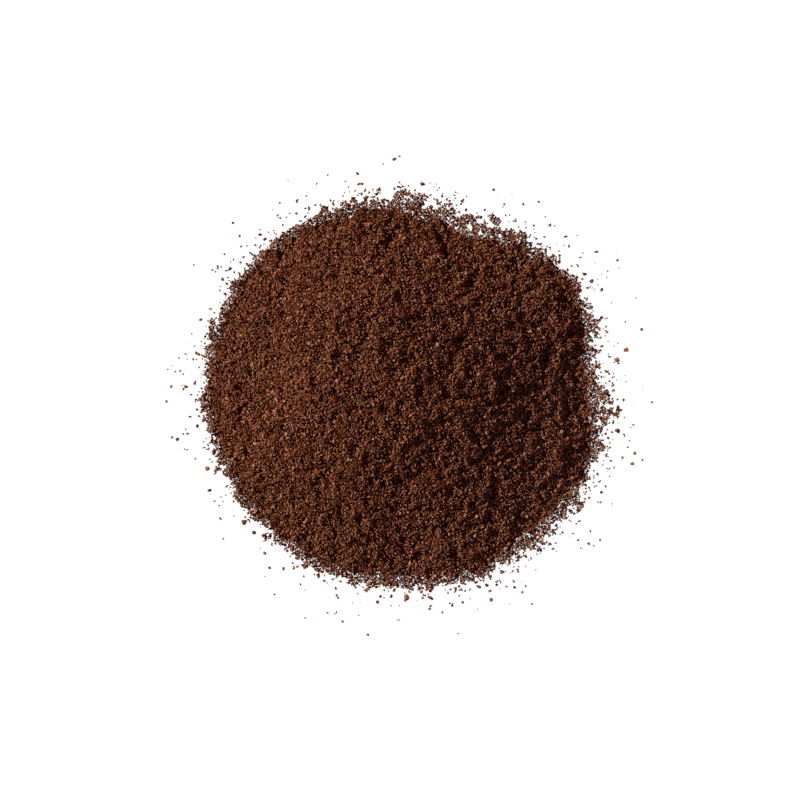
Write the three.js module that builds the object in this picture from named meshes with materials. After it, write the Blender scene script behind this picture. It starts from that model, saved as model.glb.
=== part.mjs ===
// A low heap of ground roast coffee lying loose on a flat surface, with the largest crumbs that rolled clear
// of it. Millimetres, +Z up. The origin is on that surface, under the middle of the heap's outline, and
// bearings run counter-clockwise from +X.
import * as THREE from "three";
import { mergeVertices } from "three/addons/utils/BufferGeometryUtils.js";

// The outline from above: a mean radius, with lobes (reach above 0) and hollows spread over some degrees.
const HEAP_RADIUS = 49.2;
const OUTLINE_LOBES = [
  { bearing: 10, spread: 6, reach: -1.6 },
  { bearing: 30, spread: 9, reach: 2.2 },
  { bearing: 70, spread: 9, reach: -2.5 },
  { bearing: 138, spread: 14, reach: 1.6 },
  { bearing: 180, spread: 12, reach: 0.9 },
  { bearing: 240, spread: 30, reach: -0.7 },
  { bearing: 270, spread: 7, reach: -1.1 },
  { bearing: 340, spread: 16, reach: 1.8 },
];
const RAGGED_CLUMPS = [
  { length: 2.6, reach: 0.45 }, // single clumps push the rim in or out
  { length: 7.8, reach: 0.3 }, // and so do runs of them
];
const RAGGED_POWER = 7; // keeps the raggedness out of the rings inside the rim

// The section: a rim that thins out, a pad with a shallow trough inside its lip, and a broad mound on top.
const RIM_HEIGHT = 0.55; // one grain
const PAD_HEIGHT = 2.5;
const RIM_RUN = 6.0; // the distance over which the rim's slope dies away
const TROUGH = { inset: 12, spread: 4.5, depth: 0.85 };
const GROOVE = { bearing: 186, sweep: 17, inset: 8, spread: 2.4, depth: 1.2 }; // behind a lip on one side
const MOUND = { x: -8.0, y: 6.0, spread: 23.0, rise: 10.2 };
const SWELLS = [
  { x: 2.5, y: 12.0, spread: 4.5, rise: -0.7 },
  { x: 14.0, y: -6.0, spread: 7.0, rise: 1.7 },
  { x: -35.0, y: 2.0, spread: 7.0, rise: -1.9 },
  { x: 38.0, y: 24.0, spread: 5.5, rise: 0.8 },
  { x: 41.5, y: -18.0, spread: 5.5, rise: 1.0 },
  { x: -42.5, y: -2.0, spread: 5.0, rise: 0.7 },
  { x: 0.5, y: -38.0, spread: 5.0, rise: -0.9 },
  { x: 10.0, y: -36.5, spread: 5.5, rise: 0.7 },
  { x: -31.0, y: -13.0, spread: 6.0, rise: 0.6 },
];

// Random relief: soft undulations, clods, and bumps on single mesh points, as high as the coarsest grains.
const UNDULATION = { length: 11, rise: 0.55 };
const CLODS = { length: 4.2, rise: 0.25 };
const GRAIN_BUMP = 0.3;
const SEED = 20;

// The mesh: rings of six more points each, closer together near the rim.
const RINGS = 40;
const RIM_CROWDING = 0.35;
const POINT_JITTER = 0.22; // of the distance between rings
const BASE_HUBS = 3; // the base is a triangle round the origin, with a fan of faces out from each corner
const BASE_HUB_RADIUS = 22;

// The largest loose crumbs: bearing in degrees, clear gap past the rim, and width.
const CRUMBS = [
  { bearing: 9, gap: 5.4, width: 1.4 },
  { bearing: 11, gap: 8.0, width: 1.3 },
  { bearing: 15, gap: 12.4, width: 0.8 },
  { bearing: 21, gap: 2.4, width: 1.0 },
  { bearing: 49, gap: 6.0, width: 1.0 },
  { bearing: 91, gap: 9.6, width: 0.7 },
  { bearing: 97, gap: 1.8, width: 1.2 },
  { bearing: 135, gap: 8.9, width: 0.8 },
  { bearing: 169, gap: 2.2, width: 1.1 },
  { bearing: 182, gap: 8.6, width: 0.8 },
  { bearing: 189, gap: 2.1, width: 1.0 },
  { bearing: 201, gap: 3.0, width: 1.2 },
  { bearing: 219, gap: 1.3, width: 1.7 },
  { bearing: 223, gap: 1.9, width: 1.2 },
  { bearing: 229, gap: 4.0, width: 1.0 },
  { bearing: 245, gap: 1.0, width: 1.2 },
  { bearing: 255, gap: 10.4, width: 0.8 },
  { bearing: 263, gap: 3.9, width: 1.1 },
  { bearing: 271, gap: 2.6, width: 1.6 },
  { bearing: 293, gap: 5.8, width: 1.2 },
  { bearing: 299, gap: 1.0, width: 1.4 },
  { bearing: 321, gap: 8.8, width: 0.9 },
  { bearing: 343, gap: 8.1, width: 1.1 },
  { bearing: 350, gap: 3.2, width: 1.3 },
  { bearing: 358, gap: 11.8, width: 0.8 },
];
const CRUMB_UNEVEN = 0.24; // how far a crumb's corners leave a ball, as a share of its radius
const CRUMB_LOWNESS = 0.72; // height over width
const CRUMB_BEDDING = 0.3; // the share of its height that the resting flat cuts off

// A seeded source of random numbers from 0 to 1.
function randomFrom(seed) {
  let state = seed >>> 0;
  return () => {
    state = (state + 0x6d2b79f5) >>> 0;
    let t = Math.imul(state ^ (state >>> 15), state | 1);
    t ^= t + Math.imul(t ^ (t >>> 7), t | 61);
    return ((t ^ (t >>> 14)) >>> 0) / 4294967296;
  };
}

// A random number from -1 to 1 that belongs to one point of a lattice.
function latticeValue(i, j, seed) {
  return 2 * randomFrom(Math.imul(i, 73856093) ^ Math.imul(j, 19349663) ^ Math.imul(seed, 83492791))() - 1;
}

// Smooth noise from -1 to 1, which changes over the given length.
function noise(x, y, length, seed) {
  const i = Math.floor(x / length);
  const j = Math.floor(y / length);
  const u = THREE.MathUtils.smoothstep(x / length - i, 0, 1);
  const v = THREE.MathUtils.smoothstep(y / length - j, 0, 1);
  const low = THREE.MathUtils.lerp(latticeValue(i, j, seed), latticeValue(i + 1, j, seed), u);
  const high = THREE.MathUtils.lerp(latticeValue(i, j + 1, seed), latticeValue(i + 1, j + 1, seed), u);
  return THREE.MathUtils.lerp(low, high, v);
}

function bell(distance, spread) {
  return Math.exp(-0.5 * (distance / spread) ** 2);
}

// The smaller angle between two bearings, in degrees.
function bearingsApart(first, second) {
  return Math.abs(THREE.MathUtils.euclideanModulo(first - second + 180, 360) - 180);
}

// The outline's radius at a bearing in degrees, without its raggedness.
function outlineRadius(bearing) {
  let radius = HEAP_RADIUS;
  for (const lobe of OUTLINE_LOBES) {
    radius += lobe.reach * bell(bearingsApart(bearing, lobe.bearing), lobe.spread);
  }
  return radius;
}

// How far the clumps of the rim push it in or out at a bearing.
function raggedness(bearing) {
  const angle = THREE.MathUtils.degToRad(bearing);
  const x = HEAP_RADIUS * Math.cos(angle);
  const y = HEAP_RADIUS * Math.sin(angle);
  return RAGGED_CLUMPS.reduce((sum, { length, reach }) => sum + reach * noise(x, y, length, SEED), 0);
}

// The surface's height at a point that lies the given distance inside the rim.
function surfaceHeight(x, y, inside) {
  const bearing = THREE.MathUtils.radToDeg(Math.atan2(y, x));
  const groove = GROOVE.depth * bell(bearingsApart(bearing, GROOVE.bearing), GROOVE.sweep);
  let height = PAD_HEIGHT - TROUGH.depth * bell(inside - TROUGH.inset, TROUGH.spread);
  height -= groove * bell(inside - GROOVE.inset, GROOVE.spread);
  for (const form of [MOUND, ...SWELLS]) {
    height += form.rise * bell(Math.hypot(x - form.x, y - form.y), form.spread);
  }
  height += UNDULATION.rise * noise(x, y, UNDULATION.length, SEED + 1);
  height += CLODS.rise * noise(x, y, CLODS.length, SEED + 2);
  return RIM_HEIGHT + height * (1 - Math.exp(-inside / RIM_RUN));
}

// The points of one ring of the surface, from the middle (ring 0) to the rim.
function ringPoints(ring, random) {
  if (ring === 0) {
    return [new THREE.Vector3(0, 0, surfaceHeight(0, 0, HEAP_RADIUS))];
  }
  const share = ring / RINGS;
  const scaled = share * (1 + RIM_CROWDING * (1 - share));
  const jitter = ring < RINGS ? (POINT_JITTER * HEAP_RADIUS) / RINGS : 0;
  const points = [];
  for (let i = 0; i < 6 * ring; i++) {
    const bearing = (60 * i) / ring;
    const ragged = raggedness(bearing) * scaled ** RAGGED_POWER;
    const rim = outlineRadius(bearing);
    const radius = scaled * rim + ragged + jitter * (2 * random() - 1);
    const angle = THREE.MathUtils.degToRad(bearing) + (jitter * (2 * random() - 1)) / radius;
    const x = radius * Math.cos(angle);
    const y = radius * Math.sin(angle);
    const inside = Math.max(rim + ragged - radius, 0);
    const bump = GRAIN_BUMP * (2 * random() - 1);
    points.push(new THREE.Vector3(x, y, surfaceHeight(x, y, inside) + bump));
  }
  return points;
}

// The heap: a surface of rings, a rim wall one grain high, and a flat base.
function heapGeometry() {
  const random = randomFrom(SEED);
  const vertices = [];
  const ringStart = [];
  for (let ring = 0; ring <= RINGS; ring++) {
    ringStart.push(vertices.length);
    vertices.push(...ringPoints(ring, random));
  }
  const corner = (ring, i) => ringStart[ring] + (ring === 0 ? 0 : i % (6 * ring));
  const triangles = [];
  for (let ring = 1; ring <= RINGS; ring++) {
    for (let side = 0; side < 6; side++) {
      for (let i = 0; i < ring; i++) {
        const outer = side * ring + i;
        const inner = side * (ring - 1) + i;
        triangles.push(corner(ring, outer), corner(ring, outer + 1), corner(ring - 1, inner));
        if (i < ring - 1) {
          triangles.push(corner(ring - 1, inner), corner(ring, outer + 1), corner(ring - 1, inner + 1));
        }
      }
    }
  }
  const rimCount = 6 * RINGS;
  const footStart = vertices.length;
  for (let i = 0; i < rimCount; i++) {
    const top = vertices[corner(RINGS, i)];
    vertices.push(new THREE.Vector3(top.x, top.y, 0));
  }
  for (let i = 0; i < rimCount; i++) {
    const next = (i + 1) % rimCount;
    const [top, nextTop] = [corner(RINGS, i), corner(RINGS, next)];
    const [foot, nextFoot] = [footStart + i, footStart + next];
    triangles.push(top, foot, nextFoot, top, nextFoot, nextTop);
  }
  const hubStart = vertices.length;
  for (let hub = 0; hub < BASE_HUBS; hub++) {
    const angle = (2 * Math.PI * (hub + 0.5)) / BASE_HUBS;
    vertices.push(new THREE.Vector3(BASE_HUB_RADIUS * Math.cos(angle), BASE_HUB_RADIUS * Math.sin(angle), 0));
  }
  const fan = rimCount / BASE_HUBS;
  for (let hub = 0; hub < BASE_HUBS; hub++) {
    const nextHub = (hub + 1) % BASE_HUBS;
    for (let i = hub * fan; i < (hub + 1) * fan; i++) {
      triangles.push(hubStart + hub, footStart + ((i + 1) % rimCount), footStart + i);
    }
    triangles.push(hubStart + hub, hubStart + nextHub, footStart + ((nextHub * fan) % rimCount));
  }
  triangles.push(hubStart, hubStart + 2, hubStart + 1);
  const geometry = new THREE.BufferGeometry().setFromPoints(vertices);
  geometry.setIndex(triangles);
  geometry.computeVertexNormals();
  return geometry;
}

// A crumb: an uneven lump of few sides, with a small flat on the surface that it lies on.
function crumbGeometry(width, random) {
  const ball = new THREE.IcosahedronGeometry(width / 2, 0);
  ball.deleteAttribute("normal");
  ball.deleteAttribute("uv");
  const geometry = mergeVertices(ball);
  geometry.rotateX(2 * Math.PI * random()).rotateZ(2 * Math.PI * random());
  const position = geometry.getAttribute("position");
  const middle = (width / 2) * CRUMB_LOWNESS * (1 - CRUMB_BEDDING);
  for (let i = 0; i < position.count; i++) {
    const swell = 1 + CRUMB_UNEVEN * (2 * random() - 1);
    const z = position.getZ(i) * swell * CRUMB_LOWNESS + middle;
    position.setXYZ(i, position.getX(i) * swell, position.getY(i) * swell, Math.max(z, 0));
  }
  geometry.computeVertexNormals();
  return geometry;
}

function coffeeMaterial(color) {
  return new THREE.MeshStandardMaterial({ color, roughness: 0.85, metalness: 0 });
}

const group = new THREE.Group();
group.name = "ground_coffee_heap";

const heap = new THREE.Mesh(heapGeometry(), coffeeMaterial(0x45241a));
heap.name = "heap";
group.add(heap);

const crumbRandom = randomFrom(SEED + 3);
CRUMBS.forEach(({ bearing, gap, width }, index) => {
  const crumb = new THREE.Mesh(crumbGeometry(width, crumbRandom), coffeeMaterial(0x5a3220));
  const radius = outlineRadius(bearing) + raggedness(bearing) + gap + width / 2;
  const angle = THREE.MathUtils.degToRad(bearing);
  crumb.position.set(radius * Math.cos(angle), radius * Math.sin(angle), 0);
  crumb.name = `crumb_${String(index + 1).padStart(2, "0")}`;
  group.add(crumb);
});

export default group;
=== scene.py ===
"""The looks of a low heap of ground roast coffee with its stray crumbs, seen from above on white."""

import itertools
import math

import bmesh
import bpy
import numpy as np
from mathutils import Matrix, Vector
from mathutils.bvhtree import BVHTree


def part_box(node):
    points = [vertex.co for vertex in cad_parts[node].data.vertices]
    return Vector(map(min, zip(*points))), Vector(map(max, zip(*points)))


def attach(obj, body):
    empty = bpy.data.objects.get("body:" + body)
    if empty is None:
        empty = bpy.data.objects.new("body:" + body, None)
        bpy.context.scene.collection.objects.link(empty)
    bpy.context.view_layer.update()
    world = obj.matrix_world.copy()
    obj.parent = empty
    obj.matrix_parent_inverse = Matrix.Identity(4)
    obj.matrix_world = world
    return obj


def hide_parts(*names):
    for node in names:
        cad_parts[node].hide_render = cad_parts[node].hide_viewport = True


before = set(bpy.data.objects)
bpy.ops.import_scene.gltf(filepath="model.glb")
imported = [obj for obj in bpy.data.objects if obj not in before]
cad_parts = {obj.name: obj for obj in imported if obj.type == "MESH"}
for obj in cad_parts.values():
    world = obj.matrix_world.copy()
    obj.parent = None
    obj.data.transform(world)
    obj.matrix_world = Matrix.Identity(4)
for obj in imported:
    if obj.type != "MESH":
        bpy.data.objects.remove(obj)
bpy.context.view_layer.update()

MM = 0.001
SEED = 41

# The camera looks straight down. One pixel of the 800 by 800 picture is a quarter of a millimetre.
VIEW_WIDTH = 200 * MM
VIEW_MIDDLE = (-0.85 * MM, -1.65 * MM)
VIEW_START = 10 * MM
LENS = 85.0
SENSOR = 36.0

# The lamps: colour, strength, bearing and elevation in degrees, and distance. The key is a warm sun, low on
# the left and a little towards the top of the picture. A weak cool lamp faces it from close by.
KEY = ((1.0, 0.965, 0.9), 7.4, 162, 24, 0.5)
KEY_ANGLE = 6  # how wide it looks, in degrees
COUNTER = ((0.6, 1.0, 1.9), 0.025, -18, 26, 0.15)
COUNTER_SIZE = 0.06

# What the surroundings throw on the heap, as light that coffee has warmed.
FILL_COLOUR = (1, 0.26, 0.11, 1)
FILL_LOW = 0.3  # its strength at the horizon
FILL_HIGH = 0.1  # its strength at FILL_CHANGE and above
FILL_CHANGE = 0.6  # the sine of an elevation
WHITE = (1, 1, 1, 1)

# The floor is white to the camera, and throws a little warm light on the grains.
FLOOR_WIDTH = 6
FLOOR_DROP = 0.02 * MM
FLOOR_COLOUR = (0.1, 0.1, 0.1, 1)
FLOOR_ROUGHNESS = 0.9
FLOOR_GLOW = (0.4, 0.24, 0.14, 1)

# The coffee's looks: dark colour, light colour, roughness and gleam. The grains come in kinds, each with
# its name, its share of the grains, and its dark and light colours.
# The bed is coffee, but its colours are darker than any grain's: painted shade for the unlit depths of the
# pile that show between the grains.
BED_LOOK_PAINTED_SHADE = ((0.03, 0.006, 0.0022), (0.08, 0.019, 0.0075), 0.9, 0.05)
CRUMB_LOOK = ((0.12, 0.035, 0.014), (0.34, 0.12, 0.055), 0.6, 0.2)
GRAIN_ROUGHNESS = 0.6
GRAIN_GLEAM = 0.2
KINDS = [
    ("grains_dark", 0.19, (0.07, 0.015, 0.005), (0.15, 0.0365, 0.0128)),
    ("grains_brown", 0.22, (0.105, 0.0265, 0.009), (0.2, 0.057, 0.0205)),
    ("grains_russet", 0.21, (0.135, 0.038, 0.0145), (0.245, 0.077, 0.03)),
    ("grains_tan", 0.2, (0.14, 0.047, 0.0175), (0.25, 0.097, 0.038)),
    ("grains_light", 0.18, (0.155, 0.056, 0.026), (0.285, 0.124, 0.063)),
]

# From dark to light, a point goes by its noise times MOTTLE_CHANGE, plus its grain's own shade times
# SHADE_CHANGE, plus SHADE_START.
MOTTLE = {"Scale": 4200, "Detail": 3}
MOTTLE_CHANGE = 0.9
SHADE_CHANGE = 0.8
SHADE_START = -0.35
GLOSS_CHANGE = 0.12  # how far the roughness goes up and down
PITS = {"Scale": 7000, "Detail": 2}
PIT_BUMP = {"Strength": 0.6, "Distance": 0.05 * MM}

# Grains: median width, spread of the widths as a log, and limits.
GRAIN_WIDTH = 0.61 * MM
GRAIN_SPREAD = 0.32
GRAIN_LIMITS = (0.3 * MM, 1.2 * MM)
GRAIN_FLATNESS = (0.45, 0.85)  # thickness over width
GRAIN_NARROWNESS = (0.55, 0.95)  # the middle axis over width
LEAST_SHADOW = 0.3 * GRAIN_WIDTH**2  # less floor than a grain covers in the mean

# Chips, the grains' shapes: hulls of points on a ball, which are pushed apart a few times.
CHIP_CORNERS = 8
CHIP_SHAPES = 64
CHIP_SIZE = 1.26  # how far the corners stand out of the grain's ellipsoid, so that its shadow is as large
CHIP_ROUNDS = 4
CHIP_PUSH = 0.06
CHIP_NEAREST = 1e-3  # keeps the push finite
CHIP_HAIR = 1e-9  # corners this far past a face's plane still count as behind it

# Each grain's place on the texture map: its upper faces, then its lower faces, inside a free edge.
MAP_EDGE = 0.06
MAP_UPPER_END = 0.66
MAP_LOWER_START = 0.67

# The height map of the heap's form.
FORM_STEP = 0.4 * MM
FORM_MARGIN = 1.03  # the map's reach over the heap's
FORM_HAIR = 0.001  # of a step, to stay inside the map
FOOT_HEIGHT = 0.01 * MM  # the heap's foot is its corners below this
FOOT_REACH = 0.6  # and past this share of the map's reach

# The pile: a bed of the heap's form, and the grains settled on it up to that form.
CELL = 0.15 * MM
WINDOW = 5  # cells from a grain's middle to the edge of the patch that it touches
PILE_MARGIN = 16 * MM  # how far the cells go past the form's height map
LAYER = 1.5 * MM  # how deep the loose grains lie on the bed
CLODS = [(2.6 * MM, 0.28 * MM), (1.3 * MM, 0.42 * MM)]  # size and rise
TRIES = 230000  # grains dropped on the bed, of which most find no room
DEEP_FIRST = 1.3  # grains fall where there is room under the form, by this power of it
LEAST_ROOM = 0.08 * MM  # a grain's middle stays this far below the form
SETTLING = 0.86  # grains sink into gaps between others, so they pile as if they were flatter

# The bed: rings of points. Its edge has bays, and its top a relief, each with size and reach.
BED_RINGS = 90
BED_SIDES = 6  # points in the innermost ring, and more in each next one
BED_INSET = 1.6 * MM  # how far inside the rim the bed ends
BED_RAGGED = [(2.4 * MM, 1.0 * MM), (1.2 * MM, 0.8 * MM)]
BED_RELIEF = [(0.9 * MM, 0.16 * MM), (0.5 * MM, 0.12 * MM)]
BED_LEAST = 0.02 * MM  # the least height of its top

# The rim: the size of its clumps with how far they reach, and the bearings where the heap thins out over a
# wider band (middle and spread in degrees, and how much wider).
OUTLINE_STEPS = 1440
RIM_BAND = 3.0 * MM
RIM_RISE = 8.0 * MM  # over this distance the rim rises to the form's own height
RIM_LAYER = 0.95 * MM  # how deep the grains lie at the rim's very edge
RIM_EXTRA = 3.0  # how many times more grains fall on the rim's edge
RIM_CLUMPS = [(3.4 * MM, 0.9 * MM), (1.8 * MM, 1.0 * MM), (0.9 * MM, 1.0 * MM)]
THIN_RIMS = [(82, 16, 1.5), (356, 11, 1.3), (316, 9, 0.8), (62, 6, 0.5), (268, 8, 0.4)]
SIDE_BAND = 1.5 * RIM_BAND  # nearer to the rim than this, grains under others are kept too

# Loose grains on the bare floor. The share of floor that they cover falls off round the rim's line, and a
# thin scatter of strays dies away further out.
LOOSE_HEIGHT = 1.6 * MM  # they come to rest below this
RIM_FADE = 0.38 * MM
RIM_ROUNDS = 3
MOST_COVER = 0.99
STRAY_COVER = 0.12
STRAY_FADE = 3.0 * MM
STRAY_REACH = 13 * MM
STRAY_SECTORS = [(2, 18, 1.1), (290, 16, 0.8)]
STRAY_CLUMPS = [(3.4 * MM, 0.6), (1.6 * MM, 0.5)]

# The largest crumbs: lumps as waves over a ball, by how fast they change and how high they are.
CRUMB_DIVISIONS = 3
CRUMB_WAVES = 6
CRUMB_LUMPS = [(4.0, 0.1), (9.0, 0.05)]

NOISE_SPAN = 0.3  # the width of floor that soft noise covers
NOISE_SPARE = 3  # lattice lines more than that width needs


def bell(distance, spread):
    """One at no distance, and falling to nothing on both sides."""
    return np.exp(-0.5 * (distance / spread) ** 2)


def unit(vectors):
    """The vectors made one long."""
    return vectors / np.linalg.norm(vectors, axis=1)[:, None]


def blend(grid, i, j, u, v):
    """The grid's value between its places i, j and i + 1, j + 1, by the shares u and v of the way."""
    low = grid[i, j] * (1 - u) + grid[i + 1, j] * u
    high = grid[i, j + 1] * (1 - u) + grid[i + 1, j + 1] * u
    return low * (1 - v) + high * v


def soft_noise(x, y, length, rng):
    """Smooth noise from -1 to 1 at the points x, y, which changes over the given length."""
    size = int(np.ceil(NOISE_SPAN / length)) + NOISE_SPARE
    lattice = rng.uniform(-1, 1, (size, size))
    column, row = x / length + size / 2, y / length + size / 2
    i, j = np.floor(column).astype(int) % (size - 1), np.floor(row).astype(int) % (size - 1)
    u, v = column - np.floor(column), row - np.floor(row)
    return blend(lattice, i, j, u * u * (3 - 2 * u), v * v * (3 - 2 * v))


def by_bearing(x, y, peaks):
    """One plus the peaks (middle and spread in degrees, height) at the bearings of the points x, y."""
    bearing = np.degrees(np.arctan2(y, x))
    total = np.ones_like(bearing)
    for middle, spread, height in peaks:
        total += height * bell((bearing - middle + 180) % 360 - 180, spread)
    return total


class Form:
    """The heap's own form: its height over the floor, and how far inside its rim a point lies."""

    def __init__(self, node):
        corners = np.array([vertex.co[:] for vertex in node.data.vertices])
        self.reach = FORM_MARGIN * np.abs(corners[:, :2]).max()
        self.map_heights(node)
        self.trace_foot(corners)

    def map_heights(self, node):
        """Reads the height of the node's top on a square grid, with rays from above."""
        tree = BVHTree.FromObject(node, bpy.context.evaluated_depsgraph_get())
        count = int(2 * self.reach / FORM_STEP) + 1
        self.height = np.zeros((count, count))
        down = Vector((0, 0, -1))
        for i, j in itertools.product(range(count), repeat=2):
            above = Vector((i * FORM_STEP - self.reach, j * FORM_STEP - self.reach, 1))
            hit = tree.ray_cast(above, down)[0]
            self.height[i, j] = hit.z if hit else 0

    def trace_foot(self, corners):
        """Reads the outline's radius at each bearing from the corners of the heap's foot."""
        foot = corners[corners[:, 2] < FOOT_HEIGHT]
        foot = foot[np.hypot(foot[:, 0], foot[:, 1]) > FOOT_REACH * self.reach]
        bearing = np.arctan2(foot[:, 1], foot[:, 0])
        order = np.argsort(bearing)
        radii = np.hypot(foot[:, 0], foot[:, 1])[order]
        self.bearings = np.linspace(-math.pi, math.pi, OUTLINE_STEPS, endpoint=False)
        self.radii = np.interp(self.bearings, bearing[order], radii, period=2 * math.pi)

    def height_at(self, x, y):
        """The form's own height."""
        last = len(self.height) - 1 - FORM_HAIR
        column = np.clip((x + self.reach) / FORM_STEP, 0, last)
        row = np.clip((y + self.reach) / FORM_STEP, 0, last)
        i, j = column.astype(int), row.astype(int)
        return blend(self.height, i, j, column - i, row - j)

    def rim_at(self, bearing):
        """The outline's radius."""
        return np.interp(bearing, self.bearings, self.radii, period=2 * math.pi)

    def inside_at(self, x, y):
        """How far inside the rim a point lies. It is negative outside."""
        return self.rim_at(np.arctan2(y, x)) - np.hypot(x, y)

    def depth_at(self, x, y):
        """How far inside the rim a point lies, on a scale that is drawn out where the rim is thin."""
        inside, wider = self.inside_at(x, y), by_bearing(x, y, THIN_RIMS)
        return np.where(inside < RIM_BAND * wider, inside / wider, inside - RIM_BAND * (wider - 1))

    def top_at(self, x, y, clumps=0):
        """The height that the grains are heaped to, which comes down to one low layer at the rim."""
        depth = self.depth_at(x, y) + clumps
        over = np.maximum(self.height_at(x, y) - RIM_LAYER, 0)
        return np.where(depth > 0, RIM_LAYER + over * np.clip(depth / RIM_RISE, 0, 1), 0)

    def bed_at(self, x, y):
        """The height of the bed under the loose grains."""
        return np.maximum(self.top_at(x, y) - LAYER, 0)


def chip_shape(rng):
    """The corners and outward faces of a chip: the hull of a few random points on a ball."""
    corners = unit(rng.normal(size=(CHIP_CORNERS, 3)))
    for _ in range(CHIP_ROUNDS):
        apart = corners[:, None] - corners[None]
        push = apart / (np.linalg.norm(apart, axis=2)[:, :, None] ** 3 + CHIP_NEAREST)
        corners = unit(corners + CHIP_PUSH * push.sum(axis=1))
    faces = []
    for a, b, c in itertools.combinations(range(CHIP_CORNERS), 3):
        side = (corners - corners[a]) @ np.cross(corners[b] - corners[a], corners[c] - corners[a])
        if side.max() < CHIP_HAIR:
            faces.append((a, b, c))
        elif side.min() > -CHIP_HAIR:
            faces.append((a, c, b))
    return CHIP_SIZE * corners, np.array(faces)


def random_turns(count, rng):
    """Random rotation matrices, from random quaternions."""
    w, x, y, z = unit(rng.normal(size=(count, 4))).T
    rows = [
        [1 - 2 * (y * y + z * z), 2 * (x * y - w * z), 2 * (x * z + w * y)],
        [2 * (x * y + w * z), 1 - 2 * (x * x + z * z), 2 * (y * z - w * x)],
        [2 * (x * z - w * y), 2 * (y * z + w * x), 1 - 2 * (x * x + y * y)],
    ]
    return np.moveaxis(np.array(rows), 2, 0)


def grain_bodies(count, rng):
    """For each grain, the matrix that turns a unit ball into it."""
    widths = np.clip(GRAIN_WIDTH * np.exp(GRAIN_SPREAD * rng.normal(size=count)), *GRAIN_LIMITS)
    middles = widths * rng.uniform(*GRAIN_NARROWNESS, count)
    thicknesses = widths * rng.uniform(*GRAIN_FLATNESS, count)
    axes = np.stack([widths, middles, thicknesses], axis=1)
    return random_turns(count, rng) * (axes / 2)[:, None, :]


def shadows(bodies):
    """The floor area that each grain covers."""
    flat = bodies[:, :2] @ np.swapaxes(bodies[:, :2], 1, 2)
    return math.pi * np.sqrt(np.linalg.det(flat))


def domes(bodies):
    """The height of each grain's top over its middle, on the cells round it, or -1 past its edge."""
    offsets = np.arange(-WINDOW, WINDOW + 1) * CELL
    x, y = offsets[None, :, None], offsets[None, None, :]
    shape = np.linalg.inv(bodies @ np.swapaxes(bodies, 1, 2))[:, :, :, None, None]
    tilt = shape[:, 0, 2] * x + shape[:, 1, 2] * y
    flat = shape[:, 0, 0] * x**2 + 2 * shape[:, 0, 1] * x * y + shape[:, 1, 1] * y**2
    share = tilt**2 - shape[:, 2, 2] * (flat - 1)
    top = (np.sqrt(np.maximum(share, 0)) - tilt) / shape[:, 2, 2]
    return np.where(share > 0, SETTLING * top, -1.0)


class Pile:
    """Grains dropped one by one on a grid of ground heights."""

    def __init__(self, form):
        self.form = form
        half = form.reach + PILE_MARGIN
        self.axis = (np.arange(int(2 * half / CELL)) + 0.5) * CELL - half
        self.x, self.y = np.meshgrid(self.axis, self.axis, indexing="ij")
        self.ground = form.bed_at(self.x, self.y)
        self.owner = np.full(self.ground.shape, -1)
        self.bodies = []
        self.places = []

    def drop(self, bodies, chance, target, least_room, rng):
        """Each grain falls at a random spot, and stays if it comes to rest far enough below the target."""
        cells = rng.choice(chance.size, len(bodies), p=(chance / chance.sum()).ravel())
        shifts = rng.uniform(-0.5, 0.5, (len(bodies), 2)) * CELL
        columns, rows = np.unravel_index(cells, chance.shape)
        for body, top, i, j, shift in zip(bodies, domes(bodies), columns, rows, shifts):
            near = np.s_[i - WINDOW : i + WINDOW + 1, j - WINDOW : j + WINDOW + 1]
            # A grain's underside is its top turned through its middle.
            rest = (self.ground[near] + top[::-1, ::-1]).max()
            if target[i, j] - rest > least_room:
                above = rest + top > self.ground[near]
                self.ground[near][above] = (rest + top)[above]
                self.owner[near][above] = len(self.bodies)
                self.bodies.append(body)
                self.places.append((self.axis[i] + shift[0], self.axis[j] + shift[1], rest))

    def seen(self):
        """The grains that aren't wholly under others, and all those near the rim, which shows its side."""
        bodies, places = np.array(self.bodies), np.array(self.places)
        seen = self.form.depth_at(places[:, 0], places[:, 1]) < SIDE_BAND
        seen[np.unique(self.owner[self.owner >= 0])] = True
        return bodies[seen], places[seen]


def heap_up(pile, clumps, rng):
    """Lays grains on the bed up to the form, with clods, and with more grains on the rim."""
    x, y = pile.x, pile.y
    depth = pile.form.depth_at(x, y) + clumps
    target = pile.form.top_at(x, y, clumps)
    for length, rise in CLODS:
        target += rise * soft_noise(x, y, length, rng) * (target > 0)
    rim = 1 + RIM_EXTRA * bell(depth, RIM_BAND / 2)
    chance = np.clip(target - pile.ground, 0, None) ** DEEP_FIRST * rim
    pile.drop(grain_bodies(TRIES, rng), chance, target, LEAST_ROOM, rng)


def cover_density(share):
    """How much grain area falls at random on each unit of floor to cover that share of it."""
    return -np.log(1 - np.minimum(share, MOST_COVER))


def scatter(pile, clumps, rng):
    """Lays loose grains on the bare floor: in rounds along the rim's line, then as strays past it."""
    x, y = pile.x, pile.y
    depth = pile.form.depth_at(x, y) + clumps
    near = cover_density(1 / (1 + np.exp(-depth / RIM_FADE))) * (depth > -RIM_BAND / 2) / RIM_ROUNDS
    inside = pile.form.inside_at(x, y)
    far = cover_density(STRAY_COVER * np.exp(inside / STRAY_FADE)) * (inside < 0) * (inside > -STRAY_REACH)
    far *= by_bearing(x, y, STRAY_SECTORS)
    far *= np.exp(sum(strength * soft_noise(x, y, length, rng) for length, strength in STRAY_CLUMPS))
    low = np.full_like(pile.ground, LOOSE_HEIGHT)
    for density in [near] * RIM_ROUNDS + [far]:
        density = density * (pile.owner < 0) * (pile.ground == 0)
        area = density.sum() * CELL**2
        bodies = grain_bodies(int(area / LEAST_SHADOW), rng)
        enough = np.searchsorted(np.cumsum(shadows(bodies)), area)
        pile.drop(bodies[:enough], density, low, 0, rng)


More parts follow.
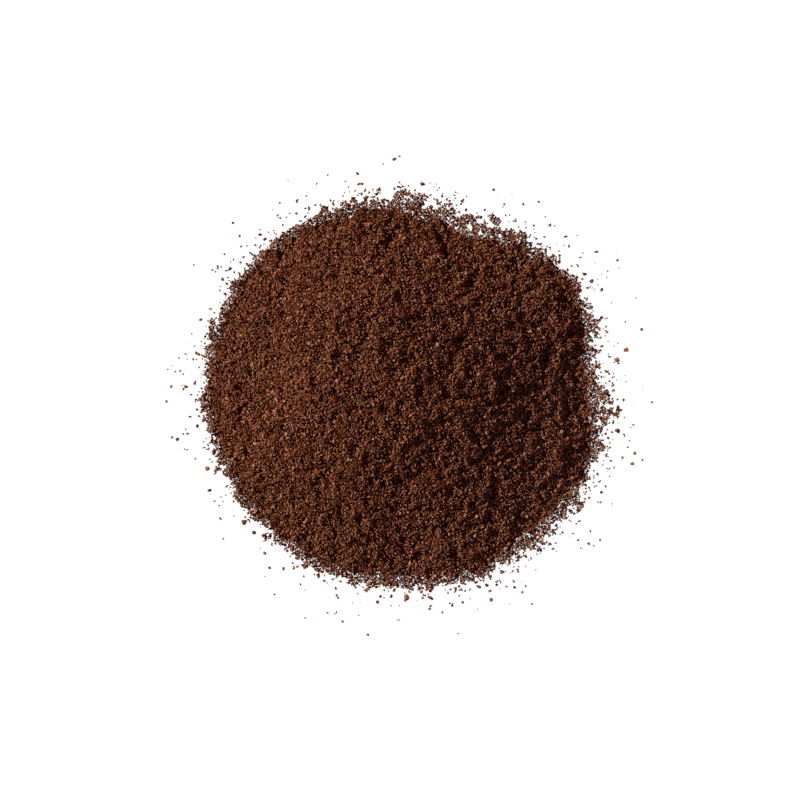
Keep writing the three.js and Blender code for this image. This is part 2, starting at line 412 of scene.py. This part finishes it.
def heap_grains(form, rng):
    """Every grain of the heap, its rim and the strays: bodies and places."""
    pile = Pile(form)
    clumps = sum(reach * soft_noise(pile.x, pile.y, length, rng) for length, reach in RIM_CLUMPS)
    heap_up(pile, clumps, rng)
    scatter(pile, clumps, rng)
    return pile.seen()


def mesh_object(name, vertices, triangles):
    """A mesh object with flat faces from arrays of points and of triangles."""
    mesh = bpy.data.meshes.new(name)
    mesh.vertices.add(len(vertices))
    mesh.vertices.foreach_set("co", np.ascontiguousarray(vertices, np.float32).ravel())
    mesh.loops.add(3 * len(triangles))
    mesh.loops.foreach_set("vertex_index", np.ascontiguousarray(triangles, np.int32).ravel())
    mesh.polygons.add(len(triangles))
    mesh.polygons.foreach_set("loop_start", np.arange(0, 3 * len(triangles), 3, dtype=np.int32))
    mesh.update(calc_edges=True)
    mesh.shade_flat()
    piece = bpy.data.objects.new(name, mesh)
    bpy.context.scene.collection.objects.link(piece)
    return piece


def add_shades(piece, count, rng):
    """Gives each of the count lumps in a piece a shade of its own, on all of its corners."""
    shades = np.repeat(rng.random(count), len(piece.data.vertices) // count).astype(np.float32)
    piece.data.attributes.new("shade", "FLOAT", "POINT").data.foreach_set("value", shades)


def map_grains(mesh, vertices, faces):
    """A texture map with a square for each grain, seen from above: upper faces left, lower faces right."""
    count = len(faces)
    side = math.ceil(math.sqrt(count))
    corners = vertices[np.arange(count)[:, None, None], faces]
    along, across = corners[:, :, 1] - corners[:, :, 0], corners[:, :, 2] - corners[:, :, 0]
    upper = (np.cross(along, across)[:, :, 2] > 0)[:, :, None]
    low = vertices[:, None, None, :, :2].min(axis=3)
    high = vertices[:, None, None, :, :2].max(axis=3)
    flat = MAP_EDGE + (1 - 2 * MAP_EDGE) * (corners[..., :2] - low) / (high - low)
    left = MAP_UPPER_END * flat[..., 0]
    right = MAP_LOWER_START + (1 - MAP_LOWER_START) * flat[..., 0]
    u = np.where(upper, left, right)
    cell = np.arange(count)[:, None, None]
    spots = np.stack([(cell % side + u) / side, (cell // side + flat[..., 1]) / side], axis=-1)
    layer = mesh.uv_layers.new(name="OFBake")
    layer.data.foreach_set("uv", spots.astype(np.float32).ravel())


def grain_piece(name, bodies, places, shapes, rng):
    """One joined mesh of chips. Those that end under the floor or just above it are set on it."""
    count = len(bodies)
    which = rng.integers(0, len(shapes), count)
    corners = np.array([shape[0] for shape in shapes])[which]
    faces = np.array([shape[1] for shape in shapes])[which]
    vertices = np.einsum("gij,gcj->gci", bodies, corners) + places[:, None, :]
    low = vertices[:, :, 2].min(axis=1)
    vertices[:, :, 2] -= np.where(low < CELL, low, 0)[:, None]
    triangles = faces + (np.arange(count) * CHIP_CORNERS)[:, None, None]
    piece = mesh_object(name, vertices.reshape(-1, 3), triangles.reshape(-1, 3))
    map_grains(piece.data, vertices, faces)
    add_shades(piece, count, rng)
    return piece


def ring_triangles(start):
    """The triangles between rings of points, by the number of each ring's first point."""
    triangles = []
    for k in range(1, len(start)):
        outer_size, inner_size = BED_SIDES * k, max(BED_SIDES * (k - 1), 1)
        i = np.arange(k)
        for side in range(BED_SIDES):
            outer = start[k] + (side * k + i) % outer_size
            outer_next = start[k] + (side * k + i + 1) % outer_size
            inner = start[k - 1] + (side * (k - 1) + i) % inner_size
            inner_next = start[k - 1] + (side * (k - 1) + i + 1) % inner_size
            triangles.append(np.column_stack([outer, outer_next, inner]))
            triangles.append(np.column_stack([inner, outer_next, inner_next])[: k - 1])
    return np.concatenate(triangles)


def bed_piece(form, rng):
    """The bed: rings of points from the middle to the rim, on a flat base."""
    sizes = np.maximum(BED_SIDES * np.arange(BED_RINGS + 1), 1)
    start = np.cumsum(sizes) - sizes
    ring = np.repeat(np.arange(BED_RINGS + 1), sizes)
    bearing = 2 * math.pi * (np.arange(len(ring)) - start[ring]) / sizes[ring]
    x, y = np.cos(bearing), np.sin(bearing)
    radius = form.rim_at(bearing) - BED_INSET * by_bearing(x, y, THIN_RIMS)
    for length, reach in BED_RAGGED:
        radius -= reach * soft_noise(x * form.reach, y * form.reach, length, rng)
    radius *= ring / BED_RINGS
    x, y = radius * x, radius * y
    z = form.bed_at(x, y)
    for length, rise in BED_RELIEF:
        z += rise * soft_noise(x, y, length, rng)
    z = np.where(ring == BED_RINGS, 0, np.maximum(z, BED_LEAST))
    vertices = np.vstack([np.column_stack([x, y, z]), [[0, 0, 0]]])
    last = np.arange(start[-1], len(ring))
    base = np.column_stack([np.full(len(last), len(ring)), np.roll(last, -1), last])
    return mesh_object("coffee_bed", vertices, np.concatenate([ring_triangles(start), base]))


def crumb_shape(rng):
    """A lumpy crumb about a ball's size, as points and triangles."""
    lumps = bmesh.new()
    bmesh.ops.create_icosphere(lumps, subdivisions=CRUMB_DIVISIONS, radius=1)
    lumps.verts.index_update()
    points = np.array([vertex.co[:] for vertex in lumps.verts])
    triangles = np.array([[vertex.index for vertex in face.verts] for face in lumps.faces])
    lumps.free()
    size = np.ones(len(points))
    for change, height in CRUMB_LUMPS:
        for _ in range(CRUMB_WAVES):
            way = rng.normal(size=3)
            way /= np.linalg.norm(way)
            size += height * np.sin(change * points @ way + rng.uniform(0, 2 * math.pi))
    return points * size[:, None], triangles


def add_node(nodes, kind, values=None):
    """A new shader node, with values for some of its inputs."""
    node = nodes.new(kind)
    for place, value in (values or {}).items():
        node.inputs[place].default_value = value
    return node


def coffee_colour(nodes, links, mottle, dark, light):
    """The colour from dark to light, by the mottling and each grain's own shade."""
    shade = nodes.new("ShaderNodeAttribute")
    shade.attribute_name = "shade"
    own = add_node(nodes, "ShaderNodeMath", {1: SHADE_CHANGE, 2: SHADE_START})
    mixed = add_node(nodes, "ShaderNodeMath", {1: MOTTLE_CHANGE})
    for node in (own, mixed):
        node.operation = "MULTIPLY_ADD"
    links.new(shade.outputs["Fac"], own.inputs[0])
    links.new(mottle.outputs["Fac"], mixed.inputs[0])
    links.new(own.outputs[0], mixed.inputs[2])
    ramp = nodes.new("ShaderNodeValToRGB")
    ramp.color_ramp.elements[0].color = (*dark, 1)
    ramp.color_ramp.elements[1].color = (*light, 1)
    links.new(mixed.outputs[0], ramp.inputs["Fac"])
    return ramp.outputs["Color"]


def coffee_material(name, dark, light, roughness, gleam):
    """Rough roast coffee, from a dark to a light shade, mottled and pitted."""
    material = bpy.data.materials.new(name)
    material.use_nodes = True
    nodes, links = material.node_tree.nodes, material.node_tree.links
    shader = nodes["Principled BSDF"]
    shader.inputs["Specular IOR Level"].default_value = gleam
    place = nodes.new("ShaderNodeTexCoord")
    mottle = add_node(nodes, "ShaderNodeTexNoise", MOTTLE)
    pits = add_node(nodes, "ShaderNodeTexNoise", PITS)
    for noise in (mottle, pits):
        links.new(place.outputs["Object"], noise.inputs["Vector"])
    links.new(coffee_colour(nodes, links, mottle, dark, light), shader.inputs["Base Color"])
    limits = {"To Min": roughness - GLOSS_CHANGE, "To Max": roughness + GLOSS_CHANGE}
    gloss = add_node(nodes, "ShaderNodeMapRange", limits)
    links.new(mottle.outputs["Fac"], gloss.inputs["Value"])
    links.new(gloss.outputs["Result"], shader.inputs["Roughness"])
    bump = add_node(nodes, "ShaderNodeBump", PIT_BUMP)
    links.new(pits.outputs["Fac"], bump.inputs["Height"])
    links.new(bump.outputs["Normal"], shader.inputs["Normal"])
    return material


def add_coffee():
    """The bed and the grains on it, in place of the heap's node."""
    rng = np.random.default_rng(SEED)
    form = Form(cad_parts["heap"])
    shapes = [chip_shape(rng) for _ in range(CHIP_SHAPES)]
    bed = bed_piece(form, rng)
    # The bed's dark colour is painted shade for the gaps between the grains.
    bed.data.materials.append(coffee_material("bed", *BED_LOOK_PAINTED_SHADE))
    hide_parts("heap")
    pieces = [bed]
    bodies, places = heap_grains(form, rng)
    edges = np.cumsum([0] + [share for _, share, _, _ in KINDS])
    draw = rng.random(len(bodies))
    for (name, _, dark, light), low, high in zip(KINDS, edges, edges[1:]):
        mine = (draw >= low) & (draw < high)
        piece = grain_piece(name, bodies[mine], places[mine], shapes, rng)
        material = coffee_material(name, dark, light, GRAIN_ROUGHNESS, GRAIN_GLEAM)
        piece.data.materials.append(material)
        pieces.append(piece)
    for piece in pieces:
        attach(piece, "root")


def add_strays():
    """The largest crumbs that lie clear of the heap, in place of their nodes."""
    rng = np.random.default_rng(SEED + 1)
    names = sorted(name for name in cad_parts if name.startswith("crumb_"))
    points, triangles, count = [], [], 0
    for name in names:
        low, high = (np.array(corner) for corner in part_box(name))
        shape, faces = crumb_shape(rng)
        least, most = shape.min(axis=0), shape.max(axis=0)
        points.append(low + (high - low) * (shape - least) / (most - least))
        triangles.append(faces + count)
        count += len(shape)
    piece = mesh_object("stray_crumbs", np.concatenate(points), np.concatenate(triangles))
    add_shades(piece, len(names), rng)
    piece.data.materials.append(coffee_material("stray", *CRUMB_LOOK))
    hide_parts(*names)
    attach(piece, "root")


def add_floor():
    """A wide floor just under the heap."""
    bpy.ops.mesh.primitive_plane_add(size=FLOOR_WIDTH, location=(0, 0, -FLOOR_DROP))
    floor = bpy.context.object
    floor.name = "floor"
    material = bpy.data.materials.new("floor")
    material.use_nodes = True
    nodes, links = material.node_tree.nodes, material.node_tree.links
    shader = nodes["Principled BSDF"]
    shader.inputs["Base Color"].default_value = FLOOR_COLOUR
    shader.inputs["Roughness"].default_value = FLOOR_ROUGHNESS
    shader.inputs["Emission Strength"].default_value = 1
    path = nodes.new("ShaderNodeLightPath")
    glow = nodes.new("ShaderNodeValToRGB")
    glow.color_ramp.elements[0].color = FLOOR_GLOW
    glow.color_ramp.elements[1].color = WHITE
    links.new(path.outputs["Is Camera Ray"], glow.inputs["Fac"])
    links.new(glow.outputs["Color"], shader.inputs["Emission Color"])
    floor.data.materials.append(material)


def add_world():
    """A world that is white to the camera, and lights the heap with the fill."""
    world = bpy.data.worlds.new("studio")
    world.use_nodes = True
    nodes, links = world.node_tree.nodes, world.node_tree.links
    fill = nodes["Background"]
    fill.inputs["Color"].default_value = FILL_COLOUR
    way = nodes.new("ShaderNodeTexCoord")
    split = nodes.new("ShaderNodeSeparateXYZ")
    limits = {"From Max": FILL_CHANGE, "To Min": FILL_LOW, "To Max": FILL_HIGH}
    fade = add_node(nodes, "ShaderNodeMapRange", limits)
    links.new(way.outputs["Generated"], split.inputs[0])
    links.new(split.outputs["Z"], fade.inputs["Value"])
    links.new(fade.outputs["Result"], fill.inputs["Strength"])
    seen = add_node(nodes, "ShaderNodeBackground", {"Color": WHITE})
    path = nodes.new("ShaderNodeLightPath")
    mix = nodes.new("ShaderNodeMixShader")
    links.new(path.outputs["Is Camera Ray"], mix.inputs[0])
    links.new(fill.outputs[0], mix.inputs[1])
    links.new(seen.outputs[0], mix.inputs[2])
    links.new(mix.outputs[0], nodes["World Output"].inputs["Surface"])
    bpy.context.scene.world = world


def add_lamp(lamp, colour, strength, bearing, elevation, distance):
    """Aims a lamp at the heap's middle from a bearing and an elevation in degrees. It isn't seen itself."""
    lamp.color = colour
    lamp.energy = strength
    across = math.cos(math.radians(elevation))
    towards = Vector(
        (
            math.cos(math.radians(bearing)) * across,
            math.sin(math.radians(bearing)) * across,
            math.sin(math.radians(elevation)),
        )
    )
    piece = bpy.data.objects.new(lamp.name, lamp)
    piece.rotation_euler = towards.to_track_quat("Z", "Y").to_euler()
    piece.location = towards * distance
    piece.visible_camera = False
    bpy.context.scene.collection.objects.link(piece)


def add_lamps():
    """The key and the lamp that faces it."""
    key = bpy.data.lights.new("key", "SUN")
    key.angle = math.radians(KEY_ANGLE)
    add_lamp(key, *KEY)
    counter = bpy.data.lights.new("counter", "AREA")
    counter.size = COUNTER_SIZE
    add_lamp(counter, *COUNTER)


def add_camera():
    """A camera straight above the middle of the view."""
    data = bpy.data.cameras.new("camera")
    data.lens = LENS
    data.sensor_width = SENSOR
    data.clip_start = VIEW_START
    camera = bpy.data.objects.new("camera", data)
    camera.location = (*VIEW_MIDDLE, VIEW_WIDTH * LENS / SENSOR)
    bpy.context.scene.collection.objects.link(camera)
    bpy.context.scene.camera = camera


add_camera()
add_coffee()
add_strays()
add_floor()
add_world()
add_lamps()
bpy.context.scene.view_settings.view_transform = "Standard"
# Denoising would smear the grains, which are two or three pixels wide.
bpy.context.scene.cycles.use_denoising = False
